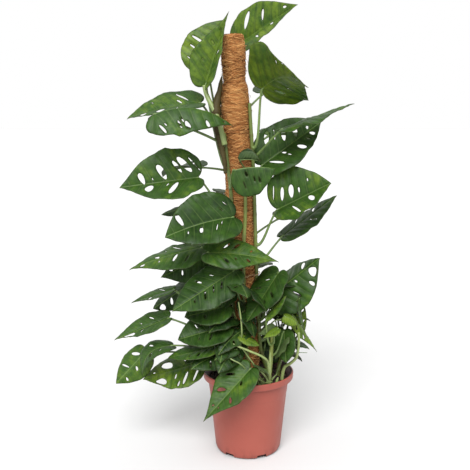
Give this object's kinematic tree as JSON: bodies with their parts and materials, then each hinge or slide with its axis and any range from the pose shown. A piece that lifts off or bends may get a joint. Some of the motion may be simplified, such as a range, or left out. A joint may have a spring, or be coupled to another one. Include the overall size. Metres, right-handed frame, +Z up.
{
  "type": "potted adansons monstera",
  "caption": "Climbing monstera with windowed oval leaves tied to a coir pole, standing in a round terracotta-coloured nursery pot.",
  "frame": {"origin": "centre of the pot's underside, on the surface that the pot stands on", "axes": "+Z up; the plant's front, as pictured, faces -Y; +X is to the right seen from there"},
  "size_m": [0.4332, 0.3352, 0.8298],
  "materials": {
    "pot_plastic": "terracotta-coloured moulded plastic, satin, with faint turning marks and dust",
    "soil": "dark crumbly potting soil",
    "stake_wood": "plain rough wood, hidden in the pole",
    "coir": "matted orange-brown coconut fibre bound with thread",
    "twine": "twisted natural twine",
    "stem": "smooth green stem with paler joints",
    "leaf": "leathery semi-gloss green with paler veins"
  },
  "bodies": {
    "root": {"pot": "pot_plastic", "soil": "soil", "stake": "stake_wood", "coir_wrap": "coir", "twine_tie": "twine", "vine_left": "stem", "vine_front": "stem", "vine_right": "stem", "vine_back": "stem", "shoot_front": "stem", "shoot_left": "stem", "shoot_right": "stem", "shoot_middle": "stem", "leaf_01": "leaf", "leaf_02": "leaf", "leaf_03": "leaf", "leaf_04": "leaf", "leaf_05": "leaf", "leaf_06": "leaf", "leaf_07": "leaf", "leaf_08": "leaf", "leaf_09": "leaf", "leaf_10": "leaf", "leaf_11": "leaf", "leaf_12": "leaf", "leaf_13": "leaf", "leaf_14": "leaf", "leaf_15": "leaf", "leaf_16": "leaf", "leaf_17": "leaf", "leaf_18": "leaf", "leaf_19": "leaf", "leaf_20": "leaf", "leaf_21": "leaf", "leaf_22": "leaf", "leaf_23": "leaf", "leaf_24": "leaf", "leaf_25": "leaf", "leaf_26": "leaf", "leaf_27": "leaf", "leaf_28": "leaf", "leaf_29": "leaf", "leaf_30": "leaf", "leaf_31": "leaf", "leaf_32": "leaf", "leaf_33": "leaf", "leaf_34": "leaf", "leaf_35": "leaf", "leaf_36": "leaf", "leaf_37": "leaf", "leaf_38": "leaf", "leaf_39": "leaf", "leaf_40": "leaf", "leaf_41": "leaf", "leaf_42": "leaf", "leaf_43": "leaf", "leaf_44": "leaf", "leaf_45": "leaf", "leaf_46": "leaf", "leaf_47": "leaf"}
  },
  "joints": []
}
